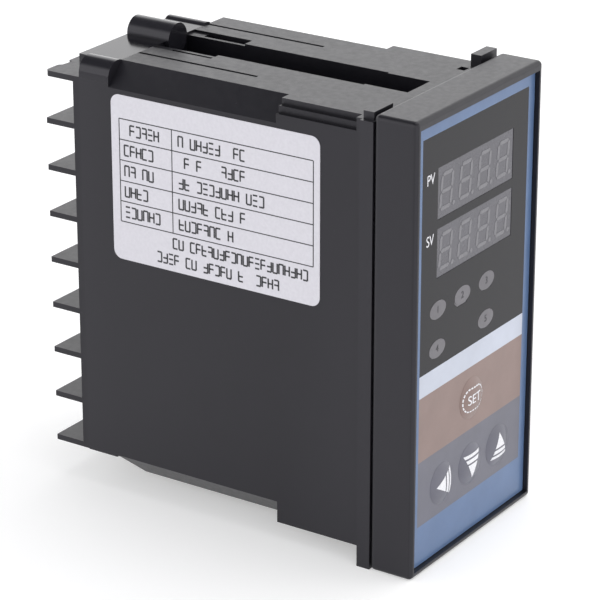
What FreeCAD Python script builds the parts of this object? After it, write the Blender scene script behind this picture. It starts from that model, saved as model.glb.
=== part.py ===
"""Panel-mounted two-display temperature controller, 48 x 96 mm front, about 90 mm deep.

A moulded case with a rear terminal base stays in the panel. The chassis, which is the bezel with its
printed film, displays, keys and boards, draws out of the case towards the front.

Frame: +Z up, +X to the right of someone facing the front, front towards -Y.
The origin is under the middle of the object, at the height of the bezel's lower edge.
Inside this file depths are counted from the front face, so every sub-part is moved by dims.front.
"""
import FreeCAD, Part
import Sketcher
import os
from FreeCAD import Placement, Rotation, Vector

doc = FreeCAD.newDocument("temperature_controller")
sheet = doc.addObject("Spreadsheet::Sheet", "dims")

DIMENSIONS = {
    # overall
    "front_width": 48.0,        # bezel, left to right
    "front_height": 96.0,       # bezel, bottom to top
    "front": -44.8,             # the front face's place along Y, half of the depth to the barriers' tips
    # case
    "case_half": 22.5,          # half the width that passes the panel cut-out
    "case_low": 3.7,
    "case_high": 94.2,
    "case_rear": 81.0,
    "roof_rear": 83.3,          # the roof runs a little over the terminal base
    "wall": 2.0,
    "flange_front": 9.8,
    "flange_rear": 12.8,
    "tab_inner": 16.0,          # the flange's tabs reach the corners only outside this
    "high_tab_inner": 17.2,
    "tab_front": 10.4,          # the tabs stand clear of the bezel
    "low_tab": 96.0,
    "high_tab": 96.8,
    "chamfer": 4.6,
    "chamfer_front": 33.0,
    "chamfer_rear": 73.6,       # the chamfers, the channel and the bracket ledges end here
    "step_front": 14.5,
    "step_rear": 33.2,
    "corner_radius": 3.3,       # rounded left corner of the rear hood
    "corner_crest": 94.5,
    "hood_side": 14.0,          # right-hand side of the rear hood
    "hood_radius": 2.2,
    "hood_crest": 94.7,
    "heel_front": 69.6,         # the bottom rises from here to the heel
    "heel_rear": 73.1,
    "heel": 7.85,
    "channel_half": 4.7,
    "channel_front_half": 4.2,
    "channel_front": 14.4,
    "channel_wide_from": 24.2,
    "channel_depth": 5.2,
    "ledge_half": 7.4,
    "ledge_drop": 0.45,
    "ledge_front": 59.0,
    "hook": 1.9,                # width of the bracket's hook holes
    "hook_length": 10.8,
    "slot_centre": 12.0,
    "slot_width": 0.8,
    "slot_front": 44.5,
    "cavity_half": 20.5,
    "cavity_low": 10.4,
    "cavity_high": 87.5,
    # bezel and film
    "bezel_rear": 9.7,
    "rim": 1.3,
    "rim_high": 1.9,            # the rim above the film
    "recess": 1.25,
    "plate_rear": 3.25,
    "bezel_round": 1.0,
    "film": 0.25,
    "film_margin": 0.15,        # between the film and the recess
    "window_half": 20.2,
    "window_low": 42.6,
    "window_high": 91.3,
    "digit_half": 14.4,
    "pv_low": 73.6,
    "pv_high": 84.2,
    "sv_low": 61.5,
    "sv_high": 71.7,
    "display_front": 1.08,
    "lamp_half_wide": 2.9,
    "lamp_half_high": 1.75,
    "lens_gap": 0.03,
    # keys
    "key_radius": 4.0,
    "key_pitch": 11.0,
    "set_height": 31.0,
    "arrow_height": 16.4,
    "key_gap": 0.15,
    "key_apex": 0.3,
    "key_rim": 0.9,
    "key_travel": 0.5,
    "stem_radius": 2.0,
    "plunger_radius": 1.6,
    "switch_side": 6.0,
    "switch_front": 4.9,
    # boards
    "board": 1.6,
    "front_board": 8.4,         # face of the display board
    "board_half": 19.0,
    "board_low": 12.4,
    "board_high": 85.4,
    "side_board": 16.0,         # inner face of the two side boards
    "side_board_front": 10.2,
    "side_board_rear": 78.0,
    # terminals
    "fin_pitch": 10.16,
    "fin": 1.2,
    "fin_top": 90.46,
    "fin_rear": 89.6,
    "plate_face": 82.6,
    "platform": 84.4,
    "terminal_x": 11.3,
    "contact": 0.8,
    "blade_offset": 4.1,        # from the terminal's middle to its blade
    "blade_half": 1.2,
    "screw_radius": 1.5,
    "head_radius": 2.9,
    "head": 1.9,
    # label
    "label_front": 22.7,
    "label_rear": 73.0,
    "label_low": 53.3,
    "label_high": 88.6,
    "label": 0.12,
    "label_round": 2.0,
    # stop bar behind the bracket channel
    "bar_radius": 3.25,
    "bar_height": 94.35,
    "bar_front": 72.5,
    "bar_rear": 83.1,
}
TERMINAL_ROWS = 8
# Centres of the five round indicator lamps, as (x, z).
LAMPS = {"out_1": (-13.7, 54.8), "tuning": (-4.5, 54.5), "alarm_1": (5.1, 54.7),
         "out_2": (-13.7, 46.5), "alarm_2": (5.1, 46.5)}
# Keys, as (x, z) in key pitches and the sheet's height.
KEYS = {"set_key": (0, "set_height"), "shift_key": (-1, "arrow_height"),
        "down_key": (0, "arrow_height"), "up_key": (1, "arrow_height")}

for row, (alias, value) in enumerate(DIMENSIONS.items(), start=1):
    sheet.set(f"A{row}", alias)
    sheet.set(f"B{row}", str(value))
    sheet.setAlias(f"B{row}", alias)
doc.recompute()

PARTS = []      # every finished sub-part, in the order it is made


# ---------------------------------------------------------------- small helpers

def number(expression):
    """The present value of an expression in the sheet's cells."""
    return float(sheet.evalExpression(str(expression)))


def finish(thing, label):
    """Give a finished sub-part the label that names its file."""
    thing.Label = label
    PARTS.append(thing)
    return thing


def bind(thing, **expressions):
    """Bind properties to expressions; a double underscore stands for a dot."""
    for name, expression in expressions.items():
        thing.setExpression(name.replace("__", "."), str(expression))


def block(x, y, z, name="block"):
    """A box between pairs of expressions, y counted from the front face."""
    box = doc.addObject("Part::Box", name)
    bind(box, Length=f"({x[1]}) - ({x[0]})", Width=f"({y[1]}) - ({y[0]})", Height=f"({z[1]}) - ({z[0]})",
         Placement__Base__x=x[0], Placement__Base__y=f"dims.front + ({y[0]})", Placement__Base__z=z[0])
    return box


def rod_y(radius, x, y, z, name="rod"):
    """A cylinder along Y between two depths."""
    rod = doc.addObject("Part::Cylinder", name)
    rod.Placement = Placement(Vector(0, 0, 0), Rotation(Vector(1, 0, 0), -90))
    bind(rod, Radius=radius, Height=f"({y[1]}) - ({y[0]})", Placement__Base__x=x,
         Placement__Base__y=f"dims.front + ({y[0]})", Placement__Base__z=z)
    return rod


def rod_x(radius, x, y, z, name="rod"):
    """A cylinder along X."""
    rod = doc.addObject("Part::Cylinder", name)
    rod.Placement = Placement(Vector(0, 0, 0), Rotation(Vector(0, 1, 0), 90))
    bind(rod, Radius=radius, Height=f"({x[1]}) - ({x[0]})", Placement__Base__x=x[0],
         Placement__Base__y=f"dims.front + ({y})", Placement__Base__z=z)
    return rod


def fuse(shapes, name="union"):
    union = doc.addObject("Part::MultiFuse", name)
    union.Shapes = shapes
    union.Refine = True
    return union


def cut(base, tools, name="cut"):
    """The base without the tools."""
    result = doc.addObject("Part::Cut", name)
    result.Base = base
    result.Tool = tools[0] if len(tools) == 1 else fuse(tools, name + "_tools")
    result.Refine = True
    return result


def draw_outline(sketch, corners):
    """A closed outline whose corners are pairs of expressions."""
    points = [Vector(number(a), number(b), 0) for a, b in corners]
    first = sketch.GeometryCount
    count = len(points)
    for index, point in enumerate(points):
        sketch.addGeometry(Part.LineSegment(point, points[(index + 1) % count]), False)
    for index, (a, b) in enumerate(corners):
        following = first + (index + 1) % count
        sketch.addConstraint(Sketcher.Constraint("Coincident", first + index, 2, following, 1))
        for kind, expression in (("DistanceX", a), ("DistanceY", b)):
            place = Sketcher.Constraint(kind, first + index, 1, number(expression))
            held = sketch.addConstraint(place)
            sketch.setExpression(f"Constraints[{held}]", str(expression))


def draw_rectangle(sketch, across, up):
    draw_outline(sketch, [(across[0], up[0]), (across[1], up[0]), (across[1], up[1]), (across[0], up[1])])


def draw_circle(sketch, x, y, radius):
    """A circle with its centre and radius bound to expressions."""
    centre = Vector(number(x), number(y), 0)
    circle = sketch.addGeometry(Part.Circle(centre, Vector(0, 0, 1), number(radius)), False)
    for kind, expression in (("DistanceX", x), ("DistanceY", y)):
        held = sketch.addConstraint(Sketcher.Constraint(kind, circle, 3, number(expression)))
        sketch.setExpression(f"Constraints[{held}]", str(expression))
    held = sketch.addConstraint(Sketcher.Constraint("Radius", circle, number(radius)))
    sketch.setExpression(f"Constraints[{held}]", str(radius))


def draw_axis(sketch, level):
    """A construction line along the sketch's first axis, which a profile turns about."""
    height = number(level)
    line = sketch.addGeometry(Part.LineSegment(Vector(0, height, 0), Vector(10, height, 0)), True)
    sketch.addConstraint(Sketcher.Constraint("Horizontal", line))
    for kind, expression in (("DistanceX", "0"), ("DistanceY", level)):
        held = sketch.addConstraint(Sketcher.Constraint(kind, line, 1, number(expression)))
        sketch.setExpression(f"Constraints[{held}]", str(expression))
    sketch.addConstraint(Sketcher.Constraint("DistanceX", line, 1, line, 2, 10))


def prism(corners, y, name="prism"):
    """An outline in X and Z, carried from one depth to another."""
    sketch = doc.addObject("Sketcher::SketchObject", name + "_outline")
    sketch.Placement = Placement(Vector(0, 0, 0), Rotation(Vector(1, 0, 0), 90))
    sketch.setExpression("Placement.Base.y", f"dims.front + ({y[0]})")
    draw_outline(sketch, corners)
    extrusion = doc.addObject("Part::Extrusion", name)
    extrusion.Base = sketch
    extrusion.DirMode = "Custom"
    extrusion.Dir = Vector(0, 1, 0)
    extrusion.Solid = True
    bind(extrusion, LengthFwd=f"({y[1]}) - ({y[0]})")
    return extrusion


def wedge(corners, x, name="wedge"):
    """An outline in depth and Z, carried from one X to another."""
    sketch = doc.addObject("Sketcher::SketchObject", name + "_outline")
    sketch.Placement = Placement(Vector(0, 0, 0), Rotation(Vector(1, 1, 1), 120))
    bind(sketch, Placement__Base__x=x[0], Placement__Base__y="dims.front")
    draw_outline(sketch, corners)
    extrusion = doc.addObject("Part::Extrusion", name)
    extrusion.Base = sketch
    extrusion.DirMode = "Custom"
    extrusion.Dir = Vector(1, 0, 0)
    extrusion.Solid = True
    bind(extrusion, LengthFwd=f"({x[1]}) - ({x[0]})")
    return extrusion


def new_body(label):
    """A PartDesign body, moved as a whole so that depths inside it count from the front face."""
    body = doc.addObject("PartDesign::Body", label)
    body.setExpression("Placement.Base.y", "dims.front")
    return body


def body_sketch(body, name, role="XZ_Plane", offset="0"):
    """A sketch on one of the body's own origin planes, moved along its normal."""
    sketch = body.newObject("Sketcher::SketchObject", name)
    support = next(plane for plane in body.Origin.OriginFeatures if plane.Role == role)
    sketch.AttachmentSupport = [(support, "")]
    sketch.MapMode = "FlatFace"
    sketch.setExpression("AttachmentOffset.Base.z", offset)
    return sketch


def face_sketch(body, name, y):
    """A sketch in X and Z at a depth; its normal points to the front."""
    return body_sketch(body, name, "XZ_Plane", f"-({y})")


def pad_back(body, sketch, thickness, name):
    """Pad a face sketch towards the rear."""
    pad = body.newObject("PartDesign::Pad", name)
    pad.Profile = sketch
    pad.Reversed = True
    bind(pad, Length=thickness)
    doc.recompute()
    return pad


def pocket_back(body, sketch, depth, name):
    """Cut a face sketch towards the rear and make sure that it takes something away."""
    before = body.Shape.Volume
    pocket = body.newObject("PartDesign::Pocket", name)
    pocket.Profile = sketch
    bind(pocket, Length=depth)
    doc.recompute()
    if body.Shape.Volume > before - 1e-6:
        raise RuntimeError(f"{name} cuts nothing")
    return pocket


def edges_where(shape, test):
    """Names of the edges whose middle point and direction pass a test."""
    found = []
    for index, edge in enumerate(shape.Edges, start=1):
        middle = edge.valueAt((edge.FirstParameter + edge.LastParameter) / 2)
        along = (edge.valueAt(edge.LastParameter) - edge.valueAt(edge.FirstParameter))
        if along.Length > 1e-6 and test(middle, along.normalize()):
            found.append(f"Edge{index}")
    return found


def copies(prototype, places, label):
    """One node holding the same solid at several places."""
    group = doc.addObject("Part::Feature", label)
    group.Shape = Part.makeCompound([prototype.Shape.translated(place) for place in places])
    return finish(group, label)


def mirrored(level):
    """The height opposite a level about the case's middle."""
    return f"dims.case_low + dims.case_high - ({level})"


# ---------------------------------------------------------------- case

def corner_cut(outline, y, side, flipped):
    """A prism that trims one long corner of the case; side is -1 or 1."""
    corners = [(f"{side} * ({a})", mirrored(b) if flipped else b) for a, b in outline]
    return prism(corners, y, "corner")


def case_shell():
    """Tubular case with corner tabs, bracket channels above and below, vent slots and a rear hood."""
    half, low, high = "dims.case_half", "dims.case_low", "dims.case_high"
    clear = f"{high} + 3"
    outside = f"{half} + 1"
    edge = "dims.front_width / 2"
    flange = ("dims.flange_front", "dims.flange_rear")
    tab = ("dims.tab_front", "dims.flange_rear")
    solids = [
        block((f"-{half}", half), ("dims.flange_front", "dims.case_rear"), (low, high), "tube"),
        block((f"-{edge}", f"-{half} + 1"), flange, ("0", f"{high} + 0.2"), "left_flange"),
        block((f"{half} - 1", edge), flange, ("0", f"{high} + 0.2"), "right_flange"),
        block((f"-{half} - 0.2", "-dims.tab_inner"), tab, (f"{high} - 2", "dims.low_tab"), "left_tab"),
        block(("dims.high_tab_inner", f"{edge} - 0.6"), tab, (f"{high} - 2", "dims.high_tab"), "right_tab"),
    ]
    for ends in ((f"-{edge}", "-dims.tab_inner"), ("dims.tab_inner", edge)):
        solids.append(block(ends, flange, ("0", f"{low} + 2"), "lower_tab"))
    chamfer = [(f"{half} - dims.chamfer", high), (half, f"{high} - dims.chamfer"),
               (outside, f"{high} - dims.chamfer"), (outside, clear), (f"{half} - dims.chamfer", clear)]
    step = [(outside, f"{high} - 2.7"), (f"{half} - 1", f"{high} - 2.7"), (f"{half} - 1", f"{high} - 1.3"),
            (f"{half} - 2.1", f"{high} - 1.3"), (f"{half} - 2.1", clear), (outside, clear)]
    tools = case_openings()
    for side in (-1, 1):
        tools.append(corner_cut(step, ("dims.step_front", "dims.step_rear"), side, False))
        for flipped in (False, True):
            tools.append(corner_cut(chamfer, ("dims.chamfer_front", "dims.chamfer_rear"), side, flipped))
    heel = [("dims.heel_front", f"{low} - 1"), ("dims.heel_front", low), ("dims.heel_rear", "dims.heel"),
            ("dims.case_rear + 1", "dims.heel"), ("dims.case_rear + 1", f"{low} - 1")]
    tools.append(wedge(heel, (f"-({outside})", outside), "heel_cut"))
    tools += hood_trims()
    trimmed = cut(fuse(solids, "case_outside"), tools, "case_trimmed")
    hood = cut(fuse(hood_solids(), "hood_solids"), [cavity("main")], "hood")
    finish(fuse([trimmed, hood], "case_shell"), "case_shell")


def hood_trims():
    """What the tube loses behind the chamfers, where the hood's rounded sides take over."""
    depth = ("dims.chamfer_rear", "dims.case_rear + 1")
    clear = "dims.case_high + 1"
    left = block(("-dims.case_half - 1", "-dims.case_half + dims.corner_radius"), depth,
                 ("dims.corner_crest - dims.corner_radius", clear), "left_trim")
    right = block(("dims.hood_side - dims.hood_radius", "dims.case_half + 1"), depth,
                  ("dims.fin_top + 0.1", clear), "right_trim")
    return [left, right]


def hood_solids():
    """Roof over the terminal base, with a rounded left corner and a rounded right-hand side."""
    depth = ("dims.chamfer_rear", "dims.case_rear")
    left_axis = "-dims.case_half + dims.corner_radius"
    right_axis = "dims.hood_side - dims.hood_radius"
    base = "dims.fin_top + 0.1"
    return [
        block((left_axis, right_axis), (depth[0], "dims.roof_rear"), (base, "dims.case_high"), "roof"),
        rod_y("dims.corner_radius", left_axis, depth, "dims.corner_crest - dims.corner_radius", "left_round"),
        rod_y("dims.hood_radius", right_axis, (depth[0], "dims.roof_rear"),
              "dims.hood_crest - dims.hood_radius", "right_round"),
        block((right_axis, "dims.hood_side"), (depth[0], "dims.roof_rear"),
              (base, "dims.hood_crest - dims.hood_radius"), "right_side"),
    ]


def cavity(which):
    """The room for the chassis: a tall main box and two side boxes beside each channel."""
    rear = ("dims.flange_front - 1", "dims.case_rear + 1")
    if which == "main":
        return block(("-dims.cavity_half", "dims.cavity_half"), rear, ("dims.cavity_low", "dims.cavity_high"), which)
    side, level = which
    inner, outer = "dims.ledge_half + 0.9", "dims.case_half - 4"
    across = (f"-({outer})", f"-({inner})") if side < 0 else (inner, outer)
    up = ("dims.cavity_high - 1", "dims.case_high - 2.7")
    if level == "low":
        up = (mirrored(up[1]), mirrored(up[0]))
    return block(across, ("dims.flange_front - 1", "dims.heel_front"), up, "side_cavity")


def case_openings():
    """Cavities, bracket channels with their ledges and hook holes, and vent slots."""
    tools = [cavity("main")]
    tools += [cavity((side, level)) for side in (-1, 1) for level in ("high", "low")]
    for flipped in (False, True):
        def span(low, high):
            return (mirrored(high), mirrored(low)) if flipped else (low, high)
        top = "dims.case_high + 1"
        deep = "dims.case_high - dims.channel_depth"
        channel_rear = "dims.roof_rear + 1" if flipped else "dims.chamfer_rear"
        tools.append(block(("-dims.channel_front_half", "dims.channel_front_half"),
                           ("dims.channel_front", "dims.channel_wide_from + 0.5"), span(deep, top), "channel"))
        tools.append(block(("-dims.channel_half", "dims.channel_half"),
                           ("dims.channel_wide_from", channel_rear), span(deep, top), "channel"))
        tools.append(block(("-dims.ledge_half", "dims.ledge_half"), ("dims.ledge_front", "dims.chamfer_rear"),
                           span("dims.case_high - dims.ledge_drop", top), "ledge"))
        for side in (-1, 1):
            hook = ("dims.ledge_half - dims.hook", "dims.ledge_half")
            slot = ("dims.slot_centre - dims.slot_width / 2", "dims.slot_centre + dims.slot_width / 2")
            if side < 0:
                hook = (f"-({hook[1]})", f"-({hook[0]})")
                slot = (f"-({slot[1]})", f"-({slot[0]})")
            tools.append(block(hook, ("dims.ledge_front", "dims.ledge_front + dims.hook_length"),
                               span("dims.case_high - 4", top), "hook_hole"))
            slot_rear = "dims.heel_front - 1" if flipped else "dims.chamfer_rear"
            tools.append(block(slot, ("dims.slot_front", slot_rear), span("dims.case_high - 4", top), "vent_slot"))
    # Relief beside the right-hand tab.
    relief = ("dims.flange_rear - 0.4", "dims.flange_rear + 1.4")
    tools.append(block(("dims.tab_inner - 2", "dims.tab_inner"), relief,
                       ("dims.case_high - 1.2", "dims.case_high + 1"), "tab_relief"))
    return tools


def bracket_bar():
    """Round stop bar that lies on the hood and reaches over the end of the upper bracket channel."""
    rod = rod_y("dims.bar_radius", "0", ("dims.bar_front", "dims.bar_rear"), "dims.bar_height")
    seat = block(("-dims.bar_radius - 1", "dims.bar_radius + 1"), ("dims.chamfer_rear", "dims.bar_rear + 1"),
                 ("dims.bar_height - dims.bar_radius - 1", "dims.case_high"), "seat")
    finish(cut(rod, [seat], "bracket_bar"), "bracket_bar")


def rating_label():
    """Paper label on the left side, with rounded corners."""
    body = new_body("rating_label")
    sketch = body_sketch(body, "label_outline", "YZ_Plane", "-dims.case_half - dims.label")
    draw_rectangle(sketch, ("dims.label_front", "dims.label_rear"), ("dims.label_low", "dims.label_high"))
    pad = body.newObject("PartDesign::Pad", "label_sheet")
    pad.Profile = sketch
    bind(pad, Length="dims.label")
    doc.recompute()
    corners = edges_where(body.Shape, lambda middle, along: abs(along.x) > 0.9)
    fillet = body.newObject("PartDesign::Fillet", "label_corners")
    fillet.Base = (pad, corners)
    bind(fillet, Radius="dims.label_round")
    finish(body, "rating_label")


# ---------------------------------------------------------------- terminals

def bay_height(row):
    """Middle of a terminal bay between two barriers, counted from the top."""
    return f"dims.fin_top - dims.fin / 2 - dims.fin_pitch * {row + 0.5}"


def terminal_places():
    """Where the terminals sit, as vectors from the middle of the base at height zero."""
    return [Vector(side * number("dims.terminal_x"), 0, number(bay_height(row)))
            for side in (-1, 1) for row in range(TERMINAL_ROWS)]


def terminal_base():
    """Rear moulding: a plate with nine barriers, a middle rib, platforms and a plug into the case."""
    body = new_body("terminal_base")
    plate = face_sketch(body, "plate_outline", "dims.case_rear")
    bottom = f"dims.fin_top - dims.fin - {TERMINAL_ROWS} * dims.fin_pitch"
    draw_rectangle(plate, ("-dims.case_half", "dims.case_half"), (bottom, "dims.fin_top"))
    pad_back(body, plate, "dims.plate_face - dims.case_rear", "plate")
    rib = face_sketch(body, "rib_outline", "dims.plate_face - 0.5")
    draw_rectangle(rib, ("-dims.fin / 2", "dims.fin / 2"), (bottom, "dims.fin_top"))
    pad_back(body, rib, "dims.fin_rear - dims.plate_face - 0.5", "middle_rib")
    ring = face_sketch(body, "plug_outline", "dims.case_rear - 4")
    draw_rectangle(ring, ("-dims.cavity_half + 0.2", "dims.cavity_half - 0.2"),
                   ("dims.cavity_low + 0.2", "dims.cavity_high - 0.2"))
    pad_back(body, ring, "4.5", "plug")
    hollow = face_sketch(body, "plug_hollow", "dims.case_rear - 5")
    draw_rectangle(hollow, ("-dims.cavity_half + 2", "dims.cavity_half - 2"),
                   ("dims.cavity_low + 1.2", "dims.cavity_high - 1.2"))
    pocket_back(body, hollow, "5", "plug_room")
    platform = face_sketch(body, "platform_outline", "dims.plate_face - 0.5")
    for side in (-1, 1):
        for row in range(TERMINAL_ROWS):
            centre = f"{side} * dims.terminal_x"
            draw_rectangle(platform, (f"{centre} - 5.2", f"{centre} + 5.2"),
                           (f"{bay_height(row)} - 3.6", f"{bay_height(row)} + 3.6"))
    pad_back(body, platform, "dims.platform - dims.plate_face + 0.5", "platforms")
    holes = face_sketch(body, "screw_clearance", "dims.case_rear - 1")
    blades = face_sketch(body, "blade_passages", "dims.case_rear - 1")
    for side in (-1, 1):
        for row in range(TERMINAL_ROWS):
            draw_circle(holes, f"{side} * dims.terminal_x", bay_height(row), "dims.screw_radius + 0.3")
            blade = f"{side} * (dims.terminal_x + dims.blade_offset)"
            height = bay_height(row)
            draw_rectangle(blades, (f"{blade} - 0.55", f"{blade} + 0.55"),
                           (f"{height} - dims.blade_half - 0.15", f"{height} + dims.blade_half + 0.15"))
    pocket_back(body, holes, "dims.platform - dims.case_rear + 2", "screw_holes")
    pocket_back(body, blades, "dims.platform - dims.case_rear + 2", "blade_holes")
    fin = face_sketch(body, "barrier_outline", "dims.plate_face - 0.5")
    draw_rectangle(fin, ("-dims.case_half", "dims.case_half"), ("dims.fin_top - dims.fin", "dims.fin_top"))
    barrier = pad_back(body, fin, "dims.fin_rear - dims.plate_face + 0.5", "barrier")
    pattern = body.newObject("PartDesign::LinearPattern", "barriers")
    pattern.Originals = [barrier]
    upright = next(axis for axis in body.Origin.OriginFeatures if axis.Role == "Z_Axis")
    pattern.Direction = (upright, [""])
    pattern.Reversed = True
    pattern.Occurrences = TERMINAL_ROWS + 1
    bind(pattern, Length=f"{TERMINAL_ROWS} * dims.fin_pitch")
    body.Tip = pattern
    doc.recompute()
    notches = body_sketch(body, "cover_notches", "XY_Plane", "dims.fin_top + 1")
    for side in (-1, 1):
        draw_outline(notches, [(f"{side} * 14.0", "dims.fin_rear + 1"), (f"{side} * 14.9", "dims.fin_rear - 1"),
                               (f"{side} * 17.6", "dims.fin_rear - 0.7"), (f"{side} * 19.2", "dims.fin_rear + 1")])
        draw_outline(notches, [(f"{side} * (dims.case_half + 1)", "dims.fin_rear - 1.6"),
                               (f"{side} * (dims.case_half + 1)", "dims.fin_rear + 1"),
                               (f"{side} * (dims.case_half - 1.7)", "dims.fin_rear + 1")])
    before = body.Shape.Volume
    pocket = body.newObject("PartDesign::Pocket", "cover_clip_notches")
    pocket.Profile = notches
    bind(pocket, Length="dims.fin + 1.5")
    doc.recompute()
    if body.Shape.Volume > before - 1e-6:
        raise RuntimeError("the cover notches cut nothing")
    finish(body, "terminal_base")


def terminal_metal():
    """Contact plates with their blades, square washers and cross-head screws, one of each per bay."""
    face = "dims.platform"
    tongue = block(("-4.6", "4.6"), (face, f"{face} + dims.contact"), ("-3.1", "3.1"), "contact_tongue")
    blade_ends = ("dims.case_rear - 6.5", f"{face} + 0.4")
    blade_span = ("-dims.blade_half", "dims.blade_half")
    right = block(("dims.blade_offset - 0.4", "dims.blade_offset + 0.4"), blade_ends, blade_span, "right_blade")
    left = block(("-dims.blade_offset - 0.4", "-dims.blade_offset + 0.4"), blade_ends, blade_span, "left_blade")
    thread = rod_y("dims.screw_radius + 0.05", "0", (f"{face} - 1", f"{face} + 2"), "0", "contact_hole")
    washer_low, washer_high = f"{face} + dims.contact", f"{face} + 2 * dims.contact"
    washer = cut(block(("-3.2", "3.2"), (washer_low, washer_high), ("-3.2", "3.2"), "washer_square"),
                 [rod_y("dims.screw_radius + 0.15", "0", (face, f"{face} + 3"), "0", "washer_hole")], "washer")
    head_low, head_high = washer_high, f"{washer_high} + dims.head"
    head = rod_y("dims.head_radius", "0", (head_low, head_high), "0", "screw_head")
    shank = rod_y("dims.screw_radius", "0", ("dims.case_rear + 0.2", f"{head_low} + 0.5"), "0", "screw_shank")
    recess = [block(("-1.9", "1.9"), (f"{head_high} - 1.1", f"{head_high} + 1"), ("-0.35", "0.35"), "cross"),
              block(("-0.35", "0.35"), (f"{head_high} - 1.1", f"{head_high} + 1"), ("-1.9", "1.9"), "cross")]
    domed = doc.addObject("Part::Chamfer", "screw_domed")
    domed.Base = head
    doc.recompute()
    rim = [index for index, edge in enumerate(head.Shape.Edges, start=1)
           if edge.Closed and edge.CenterOfMass.y > number(f"dims.front + {head_high}") - 0.01]
    domed.Edges = [(index, 0.7, 0.9) for index in rim]
    screw = cut(fuse([domed, shank], "screw_solid"), recess, "screw")
    hands = {-1: cut(fuse([tongue, left], "left_contact_solid"), [thread], "left_contact"),
             1: cut(fuse([tongue, right], "right_contact_solid"), [thread], "right_contact")}
    doc.recompute()
    contacts = doc.addObject("Part::Feature", "terminal_contacts")
    contacts.Shape = Part.makeCompound([hands[1 if place.x > 0 else -1].Shape.translated(place)
                                        for place in terminal_places()])
    finish(contacts, "terminal_contacts")
    copies(washer, terminal_places(), "terminal_washers")
    copies(screw, terminal_places(), "terminal_screws")


# ---------------------------------------------------------------- front

def key_place(label):
    """Centre of a key, as expressions for x and z."""
    column, height = KEYS[label]
    return f"{column} * dims.key_pitch", f"dims.{height}"


def draw_keys(sketch, radius):
    for label in KEYS:
        x, z = key_place(label)
        draw_circle(sketch, x, z, radius)


def draw_lamps(sketch, spare):
    """Rounded lamp openings, drawn as eight-sided ovals."""
    for x, z in LAMPS.values():
        wide, high = f"(dims.lamp_half_wide + {spare})", f"(dims.lamp_half_high + {spare})"
        ring = [(1, 0.4), (0.55, 1), (-0.55, 1), (-1, 0.4), (-1, -0.4), (-0.55, -1), (0.55, -1), (1, -0.4)]
        draw_outline(sketch, [(f"{x} + {a} * {wide}", f"{z} + {b} * {high}") for a, b in ring])


def draw_digits(sketch, spare):
    """The two display openings."""
    for name in ("pv", "sv"):
        draw_rectangle(sketch, (f"-dims.digit_half - {spare}", f"dims.digit_half + {spare}"),
                       (f"dims.{name}_low - {spare}", f"dims.{name}_high + {spare}"))


def bezel():
    """Front frame: recessed face, openings for displays, lamps and keys, and a skirt into the case."""
    body = new_body("bezel")
    outline = face_sketch(body, "bezel_outline", "0")
    draw_rectangle(outline, ("-dims.front_width / 2", "dims.front_width / 2"), ("0", "dims.front_height"))
    pad_back(body, outline, "dims.bezel_rear", "bezel_block")
    edges = edges_where(body.Shape, lambda middle, along: middle.y < 0.01 or abs(along.y) > 0.9)
    fillet = body.newObject("PartDesign::Fillet", "bezel_edges")
    fillet.Base = (doc.getObject("bezel_block"), edges)
    bind(fillet, Radius="dims.bezel_round")
    doc.recompute()
    recess = face_sketch(body, "recess_outline", "-1")
    draw_rectangle(recess, ("-dims.front_width / 2 + dims.rim", "dims.front_width / 2 - dims.rim"),
                   ("dims.rim", "dims.front_height - dims.rim_high"))
    pocket_back(body, recess, "1 + dims.recess", "recess")
    room = face_sketch(body, "room_outline", "dims.plate_rear")
    draw_rectangle(room, ("-dims.front_width / 2 + dims.wall", "dims.front_width / 2 - dims.wall"),
                   ("dims.wall", "dims.front_height - dims.wall"))
    pocket_back(body, room, "dims.bezel_rear", "room")
    skirt = face_sketch(body, "skirt_outline", "dims.plate_rear - 0.5")
    draw_rectangle(skirt, ("-dims.cavity_half + 0.2", "dims.cavity_half - 0.2"),
                   ("dims.cavity_low + 0.2", "dims.cavity_high - 0.2"))
    pad_back(body, skirt, "dims.flange_rear + 3 - dims.plate_rear", "skirt")
    hollow = face_sketch(body, "skirt_hollow", "dims.plate_rear")
    draw_rectangle(hollow, ("-dims.cavity_half + 1.1", "dims.cavity_half - 1.1"),
                   ("dims.cavity_low + 1.1", "dims.cavity_high - 1.1"))
    pocket_back(body, hollow, "dims.case_rear", "skirt_room")
    openings = face_sketch(body, "front_openings", "0")
    draw_digits(openings, "0.2")
    draw_lamps(openings, "0.1")
    draw_keys(openings, "dims.stem_radius + dims.key_gap")
    pocket_back(body, openings, "dims.plate_rear + 1", "front_holes")
    seats = face_sketch(body, "key_seats_outline", "0")
    draw_keys(seats, "dims.key_radius + dims.key_gap")
    pocket_back(body, seats, "dims.recess + dims.key_travel + 0.15", "key_seats")
    finish(body, "bezel")


def front_overlay():
    """Printed film in the bezel's recess, open at the window and at the keys."""
    body = new_body("front_overlay")
    sheet_outline = face_sketch(body, "film_outline", "dims.recess - dims.film")
    inset = "dims.rim + dims.film_margin"
    draw_rectangle(sheet_outline, (f"-dims.front_width / 2 + {inset}", f"dims.front_width / 2 - ({inset})"),
                   (inset, "dims.front_height - dims.rim_high - dims.film_margin"))
    pad_back(body, sheet_outline, "dims.film", "film")
    window = face_sketch(body, "film_window", "0")
    draw_rectangle(window, ("-dims.window_half", "dims.window_half"), ("dims.window_low", "dims.window_high"))
    draw_keys(window, "dims.key_radius + dims.key_gap")
    pocket_back(body, window, "dims.recess + 1", "film_openings")
    finish(body, "front_overlay")


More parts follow.
